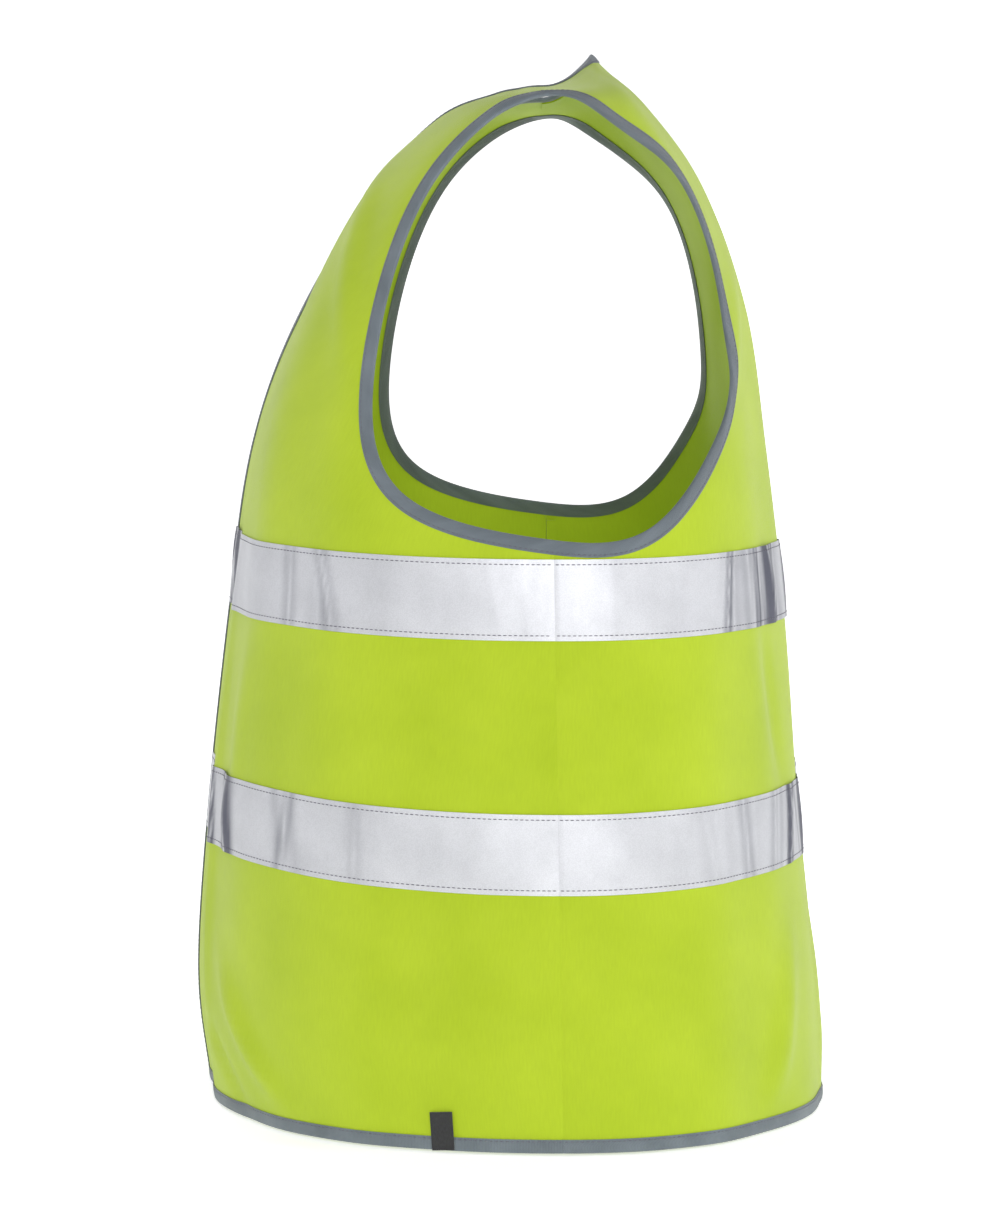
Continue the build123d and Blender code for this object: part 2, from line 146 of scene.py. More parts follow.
def surface(angle, level):
    """Points of the outer surface, in millimetres: superellipse rings x = X c k, y = m + D s k, where
    k = (|c|^n + |s|^n)^(-1/n), whose height eases from side to front or back with (s k)^2."""
    angle, level = np.broadcast_arrays(np.asarray(angle, float), np.asarray(level, float))
    side_z, front_z, back_z, half_width, front, back, square = rings_at(level)
    c, s = np.cos(np.radians(angle)), np.sin(np.radians(angle))
    size = (np.abs(c) ** square + np.abs(s) ** square) ** (-1 / square)
    x, share = half_width * c * size, s * size
    middle = SEAM_AT_HEM + SEAM_SLOPE * side_z
    y = middle + np.where(s > 0, back - middle, middle - front) * share
    z = side_z + (np.where(s > 0, back_z, front_z) - side_z) * share**2
    t = np.clip((TUCK_FROM + x) / (TUCK_FROM - TUCK_TO), 0, 1)
    y = y + np.where(angle > 180, TUCK * t * t * (3 - 2 * t), 0)
    return np.stack((x, y, z), axis=-1)


def normals(angle, level):
    """Unit normals of the outer surface, pointing out of the vest."""
    round_body = surface(angle + 0.4, level) - surface(angle - 0.4, level)
    upwards = surface(angle, level + 0.003) - surface(angle, level - 0.003)
    normal = np.cross(round_body, upwards)
    return normal / np.linalg.norm(normal, axis=-1, keepdims=True)


def fold_depth(angle, level):
    """Height of the folds over the outer surface, in millimetres: slow waves, which are deepest in
    front and behind and die out at the sides and the neck, and single ridges with a round section."""
    turn = np.radians(angle)
    strength = (0.12 + 0.88 * np.sin(turn) ** 2) * np.clip((1.0 - level) / 0.3, 0, 1)
    depth = sum(d * np.sin(n * turn + start + lean * level) for n, d, start, lean in WAVES) * strength
    for low_angle, low, high_angle, high, width, height in FOLDS:
        along = (level - low) / (high - low)
        across = (angle - low_angle - (high_angle - low_angle) * along) / width
        ends = np.clip(1.2 - np.abs(2 * along - 1), 0, 1)
        depth = depth + 2.1 * height * np.exp(-(across**2)) * ends * ends * (3 - 2 * ends)
    seam = np.minimum(np.abs(np.sin(turn)) * 220, 9.0)
    return depth - 0.3 * np.exp(-((seam / 2.2) ** 2)) * (np.abs(level) < 0.62)


def on_cloth(angle, level, out=0.0):
    """Points that stand out millimetres above the folded cloth, in metres."""
    angle, level = np.broadcast_arrays(np.asarray(angle, float), np.asarray(level, float))
    lift = (out + fold_depth(angle, level))[..., None]
    return (surface(angle, level) + lift * normals(angle, level)) * MM


def step_inwards(angle, level, distance, closed=False):
    """Places moved across the surface by distance, at right angles to a line, towards its left hand."""
    da, dl = 0.05, 0.0005
    line = surface(angle, level)
    along = (np.roll(line, -1, axis=0) - np.roll(line, 1, axis=0)) if closed else np.gradient(line, axis=0)
    here = surface(angle, level)
    by_angle = (surface(angle + da, level) - here) / da
    by_level = (surface(angle, level + dl) - here) / dl
    across = np.cross(np.cross(by_angle, by_level), along)
    across /= np.linalg.norm(across, axis=-1, keepdims=True)
    aa, ll = (by_angle**2).sum(-1), (by_level**2).sum(-1)
    al = (by_angle * by_level).sum(-1)
    pa, pl = (across * by_angle).sum(-1), (across * by_level).sum(-1)
    det = aa * ll - al**2
    return angle + distance * (pa * ll - pl * al) / det, level + distance * (pl * aa - pa * al) / det


# ---------------------------------------------------------------- outlines on the surface


def even_levels(count, low=0.0, high=1.0):
    """Levels at even distances up the surface."""
    at = np.linspace(0, 1, len(RINGS))
    ends = np.interp((low, high), at, RING_STEPS)
    return np.interp(np.linspace(*ends, count), RING_STEPS, at)


def front_edge_x(z, inset=0.0):
    """x of the left front's edge at a height: upright below, then along the V, rounded between."""
    slope = NECK_HALF / (V_TOP - V_BOTTOM)
    lap = -OVERLAP / 2
    x = lap + V_CORNER * np.logaddexp(0, ((z - V_BOTTOM) * slope - lap) / V_CORNER)
    return np.minimum(x, NECK_HALF) + inset


def angle_at(level, x_at_height):
    """Angles at which the left front crosses x_at_height(z), for an array of levels."""
    angles = np.linspace(-104, 0, 500)
    points = surface(angles[None, :], level[:, None])
    beyond = points[..., 0] - x_at_height(points[..., 2])
    first = np.argmax(beyond > 0, axis=1)
    first = np.where(beyond.max(axis=1) > 0, np.maximum(first, 1), len(angles) - 1)
    rows = np.arange(len(level))
    low, high = beyond[rows, first - 1], beyond[rows, first]
    share = np.clip(-low / np.where(high == low, 1, high - low), 0, 1)
    return angles[first - 1] + share * (angles[first] - angles[first - 1])


def locate(y, z):
    """Angles and levels on the left side where the surface has these y and z, by Newton's method."""
    grid_angle, grid_level = np.meshgrid(np.linspace(-80, 88, 150), np.linspace(0.35, 0.99, 150))
    seen = surface(grid_angle, grid_level)
    near = ((seen[..., 1].ravel() - y[:, None]) ** 2 + (seen[..., 2].ravel() - z[:, None]) ** 2).argmin(1)
    angle, level = grid_angle.ravel()[near], grid_level.ravel()[near]
    for _ in range(5):
        here = surface(angle, level)
        by_angle = (surface(angle + 0.01, level) - here) / 0.01
        by_level = (surface(angle, level + 1e-4) - here) / 1e-4
        dy, dz = y - here[:, 1], z - here[:, 2]
        det = by_angle[:, 1] * by_level[:, 2] - by_angle[:, 2] * by_level[:, 1]
        angle = angle + np.clip((dy * by_level[:, 2] - dz * by_level[:, 1]) / det, -2, 2)
        level = level + np.clip((by_angle[:, 1] * dz - by_angle[:, 2] * dy) / det, -0.02, 0.02)
    return angle, level


def closed_curve(points, count):
    """Points along a smooth closed curve: a cubic through the points with continuous curvature."""
    n = len(points)
    shift = np.roll(np.eye(n), 1, axis=0) + np.roll(np.eye(n), -1, axis=0)
    tangents = np.linalg.solve(shift + 4 * np.eye(n), 3 * (np.roll(points, -1, 0) - np.roll(points, 1, 0)))
    step = np.linspace(0, n, count, endpoint=False)
    i = step.astype(int) % n
    t = (step - step.astype(int))[:, None]
    a, b, ta, tb = points[i], points[(i + 1) % n], tangents[i], tangents[(i + 1) % n]
    return (
        (2 * t**3 - 3 * t**2 + 1) * a
        + (t**3 - 2 * t**2 + t) * ta
        + (3 * t**2 - 2 * t**3) * b
        + (t**3 - t**2) * tb
    )


ARM_ANGLE, ARM_LEVEL = locate(*closed_curve(ARMHOLE, 420).T)


def armhole_hand():
    """1 where the armhole lies on the left hand of its own line, and -1 where it lies on the right."""
    middle = ARMHOLE.mean(axis=0)
    line = surface(ARM_ANGLE, ARM_LEVEL)[:, 1:]
    stepped = surface(*step_inwards(ARM_ANGLE, ARM_LEVEL, 5.0, True))[:, 1:]
    nearer = np.linalg.norm(stepped - middle, axis=1).mean() < np.linalg.norm(line - middle, axis=1).mean()
    return 1 if nearer else -1


ARM_SIGN = armhole_hand()
CUT_IN = 3.0  # from a bound edge to the cloth's own edge, inside the fold of its binding
BELOW_ARMHOLES = 360.0  # no armhole reaches down to this height


def armhole_rim():
    """The cloth's own edge at the left armhole."""
    return step_inwards(ARM_ANGLE, ARM_LEVEL, -ARM_SIGN * CUT_IN, True)


def in_armhole(points):
    """Which points, in millimetres, lie where the cloth is cut away for an armhole."""
    y, z = surface(*armhole_rim())[:, 1:].T
    y2, z2 = np.roll(y, -1), np.roll(z, -1)
    py, pz = points[..., 1].reshape(-1, 1), points[..., 2].reshape(-1, 1)
    crosses = ((z > pz) != (z2 > pz)) & (py < (y2 - y) * (pz - z) / (z2 - z + 1e-12) + y)
    within = (crosses.sum(axis=1) % 2 == 1).reshape(points.shape[:-1])
    return within & (points[..., 2] > BELOW_ARMHOLES)


def mirrored(angle, side):
    """The like angle on the other side of the vest."""
    return angle if side == LEFT else 180 - angle


# ---------------------------------------------------------------- meshes


def grid_faces(rows, columns):
    """Four-sided faces of a grid of points, whose normals are columns x rows."""
    i, j = np.meshgrid(np.arange(rows - 1), np.arange(columns - 1), indexing="ij")
    first = (i * columns + j).ravel()
    return np.stack((first, first + 1, first + columns + 1, first + columns), axis=-1)


def lengths(points):
    """Distances along the columns and along the rows of a grid, from its first corner."""
    steps = [np.linalg.norm(np.diff(points, axis=axis), axis=-1) for axis in (1, 0)]
    u = np.concatenate((np.zeros((len(points), 1)), np.cumsum(steps[0], axis=1)), axis=1)
    v = np.concatenate((np.zeros((1, points.shape[1])), np.cumsum(steps[1], axis=0)), axis=0)
    return np.stack((u, v), axis=-1)


def make_piece(name, points, faces, uv, material, thickness):
    """Smooth mesh of four-sided faces with its cloth lengths as UV, thickened inwards."""
    used, corners = np.unique(faces, return_inverse=True)
    corners = corners.reshape(-1)
    mesh = bpy.data.meshes.new(name)
    mesh.vertices.add(len(used))
    mesh.vertices.foreach_set("co", points.reshape(-1, 3)[used].astype(np.float32).ravel())
    mesh.loops.add(len(corners))
    mesh.loops.foreach_set("vertex_index", corners.astype(np.int32))
    mesh.polygons.add(len(faces))
    mesh.polygons.foreach_set("loop_start", np.arange(0, len(corners), 4, dtype=np.int32))
    mesh.update(calc_edges=True)
    mesh.uv_layers.new(name="lengths").data.foreach_set("uv", uv.astype(np.float32).ravel())
    mesh.shade_smooth()
    edge_of = np.zeros(len(corners), np.int32)
    mesh.loops.foreach_get("edge_index", edge_of)
    mesh.edges.foreach_set("use_edge_sharp", np.bincount(edge_of, minlength=len(mesh.edges)) == 1)
    mesh.materials.append(material)
    piece = bpy.data.objects.new(name, mesh)
    bpy.context.scene.collection.objects.link(piece)
    if thickness:
        wall = piece.modifiers.new("thickness", "SOLIDIFY")
        wall.thickness = thickness * MM
        wall.offset = -1
    return piece


def sheet_piece(name, angle, level, out, material, thickness, closed=False):
    """Piece on the folded cloth over a grid of angles and levels, its faces turned outwards."""
    points = on_cloth(angle, level, out)
    middle = points.shape[1] // 2
    across = np.cross(points[0, middle + 1] - points[0, middle], points[1, middle] - points[0, middle])
    if across @ normals(angle[0, middle], level[0, middle]) < 0:
        points = points[:, ::-1]
    if closed:
        points = np.concatenate((points, points[:, :1]), axis=1)
    rows, columns = points.shape[:2]
    faces = grid_faces(rows, columns)
    uv = lengths(points).reshape(-1, 2)[faces]
    if closed:
        faces = np.where(faces % columns == columns - 1, faces - columns + 1, faces)
    return make_piece(name, points, faces, uv, material, thickness)


def ribbon(name, angle, level, toward, profile, material, thickness, closed=False):
    """A profile of (inset, out) points carried along a line on the surface."""
    inset, out = np.array(profile).T[:, :, None]
    a, b = step_inwards(angle, level, toward * inset, closed)
    return sheet_piece(name, a, b, out, material, thickness, closed)


def even_line(angle, level, pitch):
    """A line on the surface sampled again at even distances."""
    points = surface(angle, level)
    along = np.concatenate(([0], np.cumsum(np.linalg.norm(np.diff(points, axis=0), axis=1))))
    at = np.linspace(0, along[-1], max(int(along[-1] / pitch), 4))
    return np.interp(at, along, angle), np.interp(at, along, level)


def piece_points(piece):
    """Vertices of a piece as rows of x, y, z."""
    points = np.zeros(len(piece.data.vertices) * 3, np.float32)
    piece.data.vertices.foreach_get("co", points)
    return points.reshape(-1, 3)


STITCH = np.array([(-0.5, 0.16), (-0.3, 1.0), (0.3, 1.0), (0.5, 0.16)])  # share of length, of radius
STITCH_LENGTH, STITCH_PITCH, STITCH_RADIUS = 2.3, 3.3, 0.28


def stitches(angle, level, out):
    """Points and faces of a row of stitches: spindles with a square section, one after another."""
    points = on_cloth(angle, level, out) / MM
    along = np.concatenate(([0], np.cumsum(np.linalg.norm(np.diff(points, axis=0), axis=1))))
    at = np.arange(2.0, along[-1] - 2.0, STITCH_PITCH)[:, None] + STITCH[None, :, 0] * STITCH_LENGTH
    up = normals(angle, level)
    across = np.cross(up, np.gradient(points, axis=0))
    across /= np.linalg.norm(across, axis=1)[:, None]

    def sample(values):
        columns = [np.interp(at, along, values[:, k]) for k in range(3)]
        return np.stack(columns, axis=-1)[:, :, None, :]

    turn = np.radians((0, 90, 180, 270))[None, None, :, None]
    radius = STITCH_RADIUS * STITCH[None, :, 1, None, None]
    body = sample(points) + radius * (np.cos(turn) * sample(across) + np.sin(turn) * sample(up))
    count, stations = at.shape
    k = np.arange(4)
    ring = np.stack((k, (k + 1) % 4, (k + 1) % 4 + 4, k + 4), axis=-1)
    one = [ring[:, ::-1] + 4 * s for s in range(stations - 1)]
    caps = np.array([(0, 1, 2, 3), (4 * stations - 1, 4 * stations - 2, 4 * stations - 3, 4 * stations - 4)])
    one = np.concatenate((*one, caps))
    faces = (np.arange(count)[:, None, None] * 4 * stations + one[None]).reshape(-1, 4)
    return body.reshape(-1, 3) * MM, faces


def stitch_piece(name, rows, material):
    """One piece of all the given rows of stitches: each is angle, level and out along a line."""
    made = [stitches(*row) for row in rows]
    starts = np.cumsum([0] + [len(points) for points, _ in made[:-1]])
    points = np.concatenate([points for points, _ in made])
    faces = np.concatenate([faces + start for (_, faces), start in zip(made, starts)])
    return make_piece(name, points, faces, np.zeros((len(faces), 4, 2)), material, 0)


# ---------------------------------------------------------------- materials


def colour(red, green, blue):
    """Linear colour of screen values from 0 to 255."""
    c = np.array((red, green, blue)) / 255
    return (*np.where(c <= 0.04045, c / 12.92, ((c + 0.055) / 1.055) ** 2.4), 1.0)


class Finish:
    """A procedural material on the piece's own cloth lengths, in metres."""

    def __init__(self, name, roughness, **sockets):
        self.material = bpy.data.materials.new(name)
        self.material.use_nodes = True
        self.nodes, self.links = self.material.node_tree.nodes, self.material.node_tree.links
        self.shader = self.nodes["Principled BSDF"]
        self.shader.inputs["Roughness"].default_value = roughness
        for socket, value in sockets.items():
            self.shader.inputs[socket.replace("_", " ")].default_value = value
        self.map = self.nodes.new("ShaderNodeUVMap")
        self.map.uv_map = "lengths"
        self.height = None

    def node(self, kind, vector=None, **values):
        node = self.nodes.new(kind)
        for key, value in values.items():
            if key in node.inputs:
                node.inputs[key].default_value = value
            else:
                setattr(node, key, value)
        if vector is not None:
            self.links.new(vector, node.inputs["Vector"])
        return node

    def stretched(self, across, along):
        """The lengths scaled by two numbers, for a pattern with a grain."""
        mapping = self.node("ShaderNodeMapping", self.map.outputs["UV"])
        mapping.inputs["Scale"].default_value = (across, along, 1)
        return mapping.outputs["Vector"]

    def noise(self, scale, detail=3.0, vector=None):
        source = self.map.outputs["UV"] if vector is None else vector
        return self.node("ShaderNodeTexNoise", source, Scale=scale, Detail=detail).outputs["Fac"]

    def wave(self, scale, direction, distortion=0.0):
        made = self.node("ShaderNodeTexWave", self.map.outputs["UV"], Scale=scale, Distortion=distortion)
        made.bands_direction = direction
        return made.outputs["Fac"]

    def ramp(self, factor, low, high, ends=(0.3, 0.7)):
        made = self.node("ShaderNodeValToRGB")
        for element, position, value in zip(made.color_ramp.elements, ends, (low, high)):
            element.position, element.color = position, value
        self.links.new(factor, made.inputs["Fac"])
        return made.outputs["Color"]

    def multiply(self, first, second, share):
        made = self.node("ShaderNodeMix", data_type="RGBA", blend_type="MULTIPLY")
        made.inputs[0].default_value = share
        self.links.new(first, made.inputs[6])
        self.links.new(second, made.inputs[7])
        return made.outputs[2]

    def paint(self, source):
        self.links.new(source, self.shader.inputs["Base Color"])
        return self

    def bump(self, height, strength, distance):
        """Adds relief of a depth in metres over what is there."""
        made = self.node("ShaderNodeBump", Strength=strength, Distance=distance)
        self.links.new(height, made.inputs["Height"])
        if self.height is not None:
            self.links.new(self.height, made.inputs["Normal"])
        self.height = made.outputs["Normal"]
        self.links.new(self.height, self.shader.inputs["Normal"])
        return self

    def rough(self, factor, low, high):
        made = self.node("ShaderNodeMapRange")
        made.inputs["To Min"].default_value, made.inputs["To Max"].default_value = low, high
        self.links.new(factor, made.inputs["Value"])
        self.links.new(made.outputs["Result"], self.shader.inputs["Roughness"])
        return self


def grey(value):
    return (value, value, value, 1)


def knitted_cloth():
    """Brushed hi-vis knit: fine columns of loops with a soft, slightly uneven dye."""
    # The faint glow in the dye's colour is painted light: the cloth lights itself a little, which lifts its
    # shade and flattens its folds, standing in for the dye's fluorescence.
    made = Finish("hi_vis_knit", 0.8, Sheen_Weight=0.25, Sheen_Roughness=0.5, Emission_Strength=0.05)
    made.shader.inputs["Emission Color"].default_value = colour(185, 222, 20)
    made.shader.inputs["Specular IOR Level"].default_value = 0.25
    dye = made.ramp(made.noise(14, 4), colour(166, 189, 30), colour(178, 200, 40))
    loops = made.ramp(made.wave(560, "X", 0.6), grey(0.86), grey(1.0), (0.1, 0.8))
    streaks = made.ramp(made.noise(900, 2, made.stretched(1.0, 0.12)), grey(0.9), grey(1.0))
    made.paint(made.multiply(made.multiply(dye, loops, 0.5), streaks, 0.6))
    made.rough(made.noise(60), 0.72, 0.9)
    return made.bump(made.wave(560, "X", 0.6), 0.35, 0.00015).bump(made.noise(700), 0.3, 0.00012).material


def reflective_tape():
    """Silver glass-bead tape: a fine bright grain over brushed silver, darkened to grey by painted shade in
    stripes along the puckers' flanks and towards the front and back.
    """
    made = Finish("reflective_silver", 0.5, Metallic=0.45)
    tone = made.ramp(made.noise(30, 5), colour(206, 207, 212), colour(220, 221, 226))
    # painted shade: a value on each point darkens the silver towards slate grey along the puckers' flanks and
    # towards the front and back
    painted_shade = made.node("ShaderNodeAttribute", attribute_name="painted_crease_shade").outputs["Fac"]
    tone = made.multiply(tone, made.ramp(painted_shade, grey(1.0), colour(112, 113, 126), (0.0, 1.0)), 1.0)
    beads = made.node("ShaderNodeTexVoronoi", made.map.outputs["UV"], Scale=1500.0)
    grain = made.ramp(beads.outputs["Distance"], grey(1.0), grey(0.8), (0.1, 0.7))
    made.paint(made.multiply(tone, grain, 0.6)).rough(made.noise(200), 0.42, 0.55)
    return made.bump(beads.outputs["Distance"], 0.25, 0.0001).bump(made.noise(90), 0.2, 0.0003).material


def ribbed_binding():
    """Slate grey binding tape with ribs across it and a woven selvedge."""
    made = Finish("slate_binding", 0.65, Sheen_Weight=0.2)
    tone = made.ramp(made.noise(40, 4), colour(98, 108, 116), colour(118, 128, 136))
    ribs = made.ramp(made.wave(330, "X", 0.4), grey(0.72), grey(1.0), (0.0, 0.9))
    made.paint(made.multiply(tone, ribs, 0.7)).rough(made.noise(300), 0.55, 0.75)
    return made.bump(made.wave(330, "X", 0.4), 0.7, 0.0002).bump(made.wave(450, "Y"), 0.3, 0.0001).material


def sewing_thread():
    """Twisted dark thread."""
    made = Finish("grey_thread", 0.5)
    made.map = made.node("ShaderNodeTexCoord")
    twist = made.node("ShaderNodeTexNoise", made.map.outputs["Object"], Scale=2500.0, Detail=2.0)
    made.paint(made.ramp(twist.outputs["Fac"], colour(84, 82, 96), colour(120, 118, 130)))
    return made.bump(twist.outputs["Fac"], 0.4, 0.0001).material


def woven_label(name, dark, light):
    """Fine satin-woven label."""
    made = Finish(name, 0.55, Sheen_Weight=0.3)
    made.paint(made.ramp(made.noise(1600, 2, made.stretched(1, 0.3)), dark, light))
    made.rough(made.noise(400), 0.45, 0.7)
    made.bump(made.wave(700, "Y", 0.5), 0.6, 0.00015)
    return made.bump(made.wave(500, "X", 0.5), 0.4, 0.0001).material


def closure_tape(name, dark, light, pile):
    """Hook or loop tape: rows of small knots or hooks that stand up in relief."""
    made = Finish(name, 0.75, Sheen_Weight=0.4)
    knots = made.node("ShaderNodeTexVoronoi", made.map.outputs["UV"], Scale=pile, Randomness=0.45)
    made.paint(made.ramp(knots.outputs["Distance"], light, dark, (0.1, 0.6))).rough(made.noise(500), 0.6, 0.9)
    return made.bump(knots.outputs["Distance"], 0.9, 0.0006).material


CLOTH_FINISH, TAPE_FINISH, BINDING_FINISH = knitted_cloth(), reflective_tape(), ribbed_binding()
THREAD_FINISH = sewing_thread()
FLAG_FINISH = woven_label("black_label", colour(16, 16, 18), colour(38, 38, 42))
LABEL_FINISH = woven_label("white_label", colour(214, 214, 210), colour(240, 240, 236))
HOOK_FINISH = closure_tape("hook_tape", colour(20, 21, 24), colour(62, 64, 70), 900.0)
LOOP_FINISH = closure_tape("loop_tape", colour(30, 31, 34), colour(88, 90, 96), 650.0)


# ---------------------------------------------------------------- how pieces move


def fold_ends(side):
    """Points at the foot of a front's fold line, BEND_HALF to each side of it, in metres."""
    foot, top, inward = (p * (side, 1, 1) for p in (FOLD_FOOT, FOLD_TOP, FOLD_INWARD))
    to_flap = side * np.cross(top - foot, inward)
    to_flap /= np.linalg.norm(to_flap)
    if to_flap[0] * side > 0:
        to_flap = -to_flap
    return (foot - BEND_HALF * to_flap) * MM, (foot + BEND_HALF * to_flap) * MM


def fasten(piece, place, slot, *nodes):
    """Makes a piece move with the shell, or bakes a front piece's place into its mesh; either way hides the
    model's parts that it stands for.
    """
    if place == "shell":
        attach(piece, "shell")
    else:
        start, end = fold_ends(SIDES[place])
        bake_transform(piece)
    if nodes:
        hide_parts(*nodes)
    return piece


# ---------------------------------------------------------------- cloth panels

CLOTH_ROWS, FRONT_COLUMNS, BACK_COLUMNS = 150, 74, 132
SEAM_SHARES = np.array((0.0, 0.004, 0.009, 0.015, 0.022))  # closer columns beside a seam

neck_levels = np.linspace(0.9, 1.0, 400)
TOP_LEVEL = np.interp(-(NECK_HALF + CUT_IN), -surface(0.0, neck_levels)[:, 0], neck_levels)
HEM_LEVEL = CUT_IN / RING_STEPS[1] / (len(RINGS) - 1)
PANEL_LEVELS = even_levels(CLOTH_ROWS, HEM_LEVEL, TOP_LEVEL)


def cut_panel(name, angle, level):
    """Cloth panel over a grid, without its armholes, whose edge vertices lie on the armhole's line."""
    faces = grid_faces(*angle.shape)
    points = surface(angle, level)
    gone = in_armhole(points.reshape(-1, 3)[faces].mean(axis=1))
    rim = np.intersect1d(faces[~gone], faces[gone])
    angle, level, points = angle.ravel().copy(), level.ravel().copy(), points.reshape(-1, 3)
    rim_angle, rim_level = armhole_rim()
    for side in (LEFT, RIGHT):
        here = rim[points[rim, 0] * side > 0]
        rim_points = surface(mirrored(rim_angle, side), rim_level)
        nearest = ((points[here, None] - rim_points[None]) ** 2).sum(axis=-1).argmin(axis=1)
        angle[here], level[here] = mirrored(rim_angle, side)[nearest], rim_level[nearest]
    placed = on_cloth(angle, level)
    uv = lengths(points.reshape(CLOTH_ROWS, -1, 3) * MM).reshape(-1, 2)[faces[~gone]]
    return make_piece(name, placed, faces[~gone], uv, CLOTH_FINISH, CLOTH)


def back_panel():
    ends = np.concatenate((SEAM_SHARES, np.linspace(0.03, 0.97, BACK_COLUMNS), 1 - SEAM_SHARES[::-1]))
    angle, level = np.meshgrid(180 * ends, PANEL_LEVELS)
    return fasten(cut_panel("back_cloth", angle, level), "shell", "cloth", "back_panel")


def front_panel(hand, side):
    edge = angle_at(PANEL_LEVELS, lambda z: front_edge_x(z, CUT_IN))
    shares = np.concatenate((np.linspace(0, 0.97, FRONT_COLUMNS), 1 - SEAM_SHARES[::-1]))
    angle = edge[:, None] * (1 - shares)[None, :]
    level = np.broadcast_to(PANEL_LEVELS[:, None], angle.shape)
    if side == RIGHT:
        angle, level = mirrored(angle, side)[:, ::-1], level[:, ::-1]
    piece = cut_panel(f"{hand}_front_cloth", angle, level)
    return fasten(piece, hand, "cloth", f"{hand}_front_side", f"{hand}_front_flap")


PANELS = {"back": back_panel(), **{hand: front_panel(hand, side) for hand, side in SIDES.items()}}
WITH = {place: [] for place in PANELS}  # what is sewn on each panel


# ---------------------------------------------------------------- bindings

fold_turns = np.radians(np.linspace(70, -70, 7))
fold_half = CLOTH / 2 + LEG
BINDING_OUTER = [(9.0, 0.68), (8.3, 0.86), (7.5, 0.74), (6.7, 0.92), (4.6, 1.15), (2.6, 1.08)]
BINDING_FOLD = [(1.4 - 1.4 * math.cos(t), -CLOTH / 2 + fold_half * math.sin(t)) for t in fold_turns]
BINDING_INNER = [(inset, -CLOTH - out) for inset, out in reversed(BINDING_OUTER)]
BINDING_PROFILE = BINDING_OUTER + BINDING_FOLD + BINDING_INNER
STITCH_ROW = 7.5  # from the bound edge to the row of stitches


def bind(name, angle, level, toward, panel, place, nodes, closed=False):
    """Folded binding along an edge, with its row of stitches outside."""
    piece = ribbon(name, angle, level, toward, BINDING_PROFILE, BINDING_FINISH, BINDING, closed)
    WITH[panel].append(fasten(piece, place, "binding", *nodes))
    a, b = step_inwards(angle, level, toward * STITCH_ROW, closed)
    if closed:
        a, b = np.append(a, a[0]), np.append(b, b[0])
    return a, b, np.full(len(a), 0.82)


def front_edge_line():
    """The left front's bound edge, from the hem to the shoulder seam."""
    level = 1 - np.linspace(1, 0, 900) ** 2
    return even_line(angle_at(level, front_edge_x), level, 2.5)


EDGE_ANGLE, EDGE_LEVEL = front_edge_line()
HEM_ANGLE = angle_at(np.zeros(1), front_edge_x)[0]
THREADS = {place: [] for place in ("back", "left", "right", "left_arm", "right_arm")}

for hand, side in SIDES.items():
    hem = np.linspace(HEM_ANGLE, 0, 130)
    line = mirrored(hem, side)
    nodes = (f"{hand}_side_hem_binding", f"{hand}_flap_hem_binding")
    THREADS[hand].append(bind(f"{hand}_hem", line, 0 * hem, side, hand, hand, nodes))
    line = mirrored(EDGE_ANGLE, side)
    nodes = (f"{hand}_neck_binding", f"{hand}_front_edge_binding")
    THREADS[hand].append(bind(f"{hand}_front_edge", line, EDGE_LEVEL, -side, hand, hand, nodes))
    line = mirrored(ARM_ANGLE, side)
    nodes = (f"{hand}_back_armhole_binding", f"{hand}_front_armhole_binding")
    sewn = bind(f"{hand}_armhole", line, ARM_LEVEL, -ARM_SIGN * side, "back", "shell", nodes, True)
    THREADS[f"{hand}_arm"].append(sewn)

half_round = np.linspace(0, 180, 240)
for name, level, toward in (("hem", 0.0, 1), ("neck", 1.0, -1)):
    line = np.full(len(half_round), level)
    THREADS["back"].append(
        bind(f"back_{name}", half_round, line, toward, "back", "shell", (f"back_{name}_binding",))
    )


# ---------------------------------------------------------------- reflective tapes

TAPE_ROWS, TAPE_STITCH = 9, 3.2
CLOSURE_EDGE = CLOSURE_HALF + SEW_GAP


def level_at(angle, z):
    """Levels at which the surface reaches these heights, by Newton's method."""
    angle, z = np.broadcast_arrays(angle, z)
    level = np.interp(z, RINGS[:, 0], np.linspace(0, 1, len(RINGS)))
    for _ in range(5):
        height = surface(angle, level)[..., 2]
        level = level + (z - height) / (surface(angle, level + 1e-4)[..., 2] - height) * 1e-4
    return level


def band_levels(angle, height, rise, across):
    """Levels of the lines that lie across above a band's lower edge, which rises away from the seam."""
    level = level_at(angle, height + across)
    for _ in range(2):
        y = surface(angle, level)[..., 1]
        level = level_at(angle, height + rise * ((y - SEAM_AT_HEM) / BAND_ARC) ** 2 + across)
    return level


def puckers(angle, across, seed):
    """Height of a tape's puckers: narrow slanting ridges, strong at front and back and faint at the side."""
    draw = np.random.default_rng(seed)
    count = 110
    at, width = draw.uniform(-105, 285, count), draw.uniform(0.7, 2.2, count)
    height, slant = draw.uniform(-1.2, 2.2, count), draw.uniform(-0.06, 0.06, count)
    turn = np.asarray(angle)[..., None]
    ridge = np.exp(-(((turn - at - slant * np.asarray(across)[..., None]) / width) ** 2))
    away = np.clip((np.abs(np.sin(np.radians(angle))) - 0.42) / 0.4, 0, 1)
    return (ridge * height).sum(axis=-1) * (0.1 + 0.9 * away)


def painted_tape_shade(turn, across, seed):
    """Painted shade on a tape, from 0 to 1: dark stripes along the flanks of the puckers, strongest towards
    the front and back and none near the side seams.
    """
    flank = np.abs(puckers(turn + 0.25, across, seed) - puckers(turn - 0.25, across, seed)) / 0.5
    away = np.clip((np.abs(np.sin(np.radians(turn))) - 0.4) / 0.35, 0, 1)
    return np.clip(0.9 * flank + 0.1, 0, 1) * away


TAPE_SLACK = 0.25  # height of a tape's middle plane above its sewn place
DEEPEST_DIP = -0.2  # a pucker goes no further towards the cloth than this
THREAD_ABOVE_TAPE = 0.12


